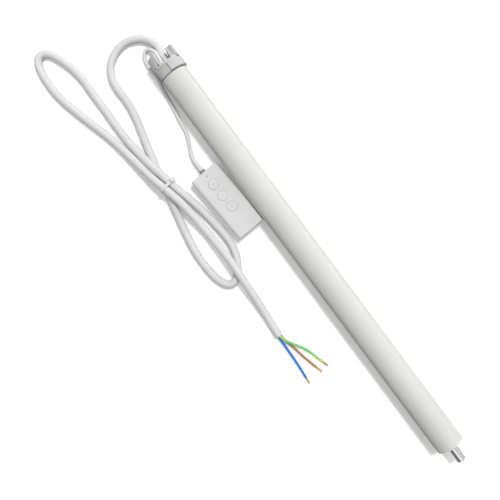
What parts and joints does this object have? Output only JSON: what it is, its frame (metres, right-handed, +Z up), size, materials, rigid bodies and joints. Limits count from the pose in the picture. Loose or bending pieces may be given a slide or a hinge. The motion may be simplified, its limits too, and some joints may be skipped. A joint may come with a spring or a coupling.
{
  "type": "roller shade controller",
  "caption": "Slim tubular roller shade motor with a keyed crown, flatted drive shaft, tied mains cord and a wired flat control pod with push buttons.",
  "frame": {"origin": "on the tube's axis at the face of its drive end, where the drive shaft comes out", "axes": "+X along the tube and out of the drive end, +Z up from the surface it lies on, +Y away from the control pod"},
  "size_m": [0.5036, 0.1105, 0.0269],
  "materials": {
    "tube_paint": "satin white coating",
    "head_grey": "moulded",
    "crown_grey": "moulded",
    "magnet": "sintered",
    "spring_steel": "spring steel",
    "black_rubber": "soft",
    "inner_plastic": "moulded",
    "screw_steel": "zinc plated",
    "board_green": "solder mask",
    "coil": "taped winding",
    "capacitor": "sleeved can",
    "fuse_glass": "clear",
    "block_green": "moulded",
    "wire": "insulation",
    "relay": "moulded case",
    "motor_steel": "drawn can",
    "brush_plastic": "moulded",
    "rotor_steel": "laminated",
    "gear_steel": "sintered",
    "pinion_brass": "cut",
    "planet_plastic": "moulded",
    "shaft_steel": "polished",
    "cap_white": "moulded",
    "pod_white": "fine satin",
    "button_white": "fine satin",
    "switch_black": "moulded",
    "lens_clear": "frosted",
    "white_rubber": "soft",
    "cord_white": "soft sheath",
    "tie_nylon": "nylon",
    "core_blue": "insulation",
    "core_brown": "insulation",
    "core_green": "insulation with a yellow stripe",
    "copper": "stranded copper"
  },
  "bodies": {
    "shell": {"outer_tube": "tube_paint", "head_body": "head_grey", "motor_magnets": "magnet", "crown_clip": "spring_steel", "mains_grommet": "black_rubber", "lead_grommet": "black_rubber", "cord_clamp": "inner_plastic", "board_tray": "inner_plastic", "rear_mount": "inner_plastic", "input_plate": "inner_plastic", "clamp_screws": "screw_steel", "tube_screws": "screw_steel", "pod_screws": "screw_steel", "power_board": "board_green", "control_board": "board_green", "pod_board": "board_green", "transformer": "coil", "filter_capacitor": "capacitor", "fuse": "fuse_glass", "terminal_block": "block_green", "inner_wires": "wire", "board_relays": "relay", "motor_can": "motor_steel", "brush_cover": "brush_plastic", "gearbox_ring": "gear_steel", "output_bush": "pinion_brass", "drive_end_cap": "cap_white", "pod_front_shell": "pod_white", "pod_back_shell": "pod_white", "button_switches": "switch_black", "radio_chip": "switch_black", "led_lens": "lens_clear", "pod_gland": "white_rubber", "mains_cord": "cord_white", "signal_lead": "cord_white", "cord_tie": "tie_nylon", "core_blue": "core_blue", "core_brown": "core_brown", "core_green_yellow": "core_green", "copper_tips": "copper"},
    "crown": {"crown_ring": "crown_grey", "crown_magnet": "magnet"},
    "rotor": {"motor_rotor": "rotor_steel", "first_sun": "pinion_brass"},
    "first_carrier": {"first_carrier": "gear_steel"},
    "first_planet_a": {"first_planet_a": "planet_plastic"},
    "first_planet_b": {"first_planet_b": "planet_plastic"},
    "first_planet_c": {"first_planet_c": "planet_plastic"},
    "output": {"second_carrier": "gear_steel", "drive_shaft": "shaft_steel", "shaft_clip": "spring_steel"},
    "second_planet_a": {"second_planet_a": "planet_plastic"},
    "second_planet_b": {"second_planet_b": "planet_plastic"},
    "second_planet_c": {"second_planet_c": "planet_plastic"},
    "button_up": {"button_up": "button_white"},
    "button_stop": {"button_stop": "button_white"},
    "button_down": {"button_down": "button_white"}
  },
  "joints": [
    {"name": "crown_spin", "type": "hinge", "parent": "shell", "child": "crown", "pos_m": [-0.40185, 0, 0], "axis": [1, 0, 0], "continuous": true},
    {"name": "rotor_spin", "type": "hinge", "parent": "shell", "child": "rotor", "pos_m": [-0.107, 0, 0], "axis": [1, 0, 0], "continuous": true},
    {"name": "first_carrier_spin", "type": "hinge", "parent": "shell", "child": "first_carrier", "pos_m": [-0.056, 0, 0], "axis": [1, 0, 0], "continuous": true},
    {"name": "first_planet_a_spin", "type": "hinge", "parent": "first_carrier", "child": "first_planet_a", "pos_m": [-0.0607, 0.0054, 0], "axis": [1, 0, 0], "continuous": true},
    {"name": "first_planet_b_spin", "type": "hinge", "parent": "first_carrier", "child": "first_planet_b", "pos_m": [-0.0607, -0.0027, 0.00468], "axis": [1, 0, 0], "continuous": true},
    {"name": "first_planet_c_spin", "type": "hinge", "parent": "first_carrier", "child": "first_planet_c", "pos_m": [-0.0607, -0.0027, -0.00468], "axis": [1, 0, 0], "continuous": true},
    {"name": "drive_spin", "type": "hinge", "parent": "shell", "child": "output", "pos_m": [-0.007, 0, 0], "axis": [1, 0, 0], "continuous": true},
    {"name": "second_planet_a_spin", "type": "hinge", "parent": "output", "child": "second_planet_a", "pos_m": [-0.0515, 0.0054, 0], "axis": [1, 0, 0], "continuous": true},
    {"name": "second_planet_b_spin", "type": "hinge", "parent": "output", "child": "second_planet_b", "pos_m": [-0.0515, -0.0027, 0.00468], "axis": [1, 0, 0], "continuous": true},
    {"name": "second_planet_c_spin", "type": "hinge", "parent": "output", "child": "second_planet_c", "pos_m": [-0.0515, -0.0027, -0.00468], "axis": [1, 0, 0], "continuous": true},
    {"name": "button_up_press", "type": "slide", "parent": "shell", "child": "button_up", "axis": [0, 0, -1], "range_m": [0, 0.0005], "stiffness_N_per_m": 300, "springref_m": -0.0005},
    {"name": "button_stop_press", "type": "slide", "parent": "shell", "child": "button_stop", "axis": [0, 0, -1], "range_m": [0, 0.0005], "stiffness_N_per_m": 300, "springref_m": -0.0005},
    {"name": "button_down_press", "type": "slide", "parent": "shell", "child": "button_down", "axis": [0, 0, -1], "range_m": [0, 0.0005], "stiffness_N_per_m": 300, "springref_m": -0.0005}
  ],
  "couplings": [
    {"joint": "first_carrier_spin", "follows": "rotor_spin", "ratio": 0.16667},
    {"joint": "first_planet_a_spin", "follows": "rotor_spin", "ratio": -0.41667},
    {"joint": "first_planet_b_spin", "follows": "rotor_spin", "ratio": -0.41667},
    {"joint": "first_planet_c_spin", "follows": "rotor_spin", "ratio": -0.41667},
    {"joint": "drive_spin", "follows": "rotor_spin", "ratio": 0.027778},
    {"joint": "second_planet_a_spin", "follows": "rotor_spin", "ratio": -0.069444},
    {"joint": "second_planet_b_spin", "follows": "rotor_spin", "ratio": -0.069444},
    {"joint": "second_planet_c_spin", "follows": "rotor_spin", "ratio": -0.069444}
  ]
}
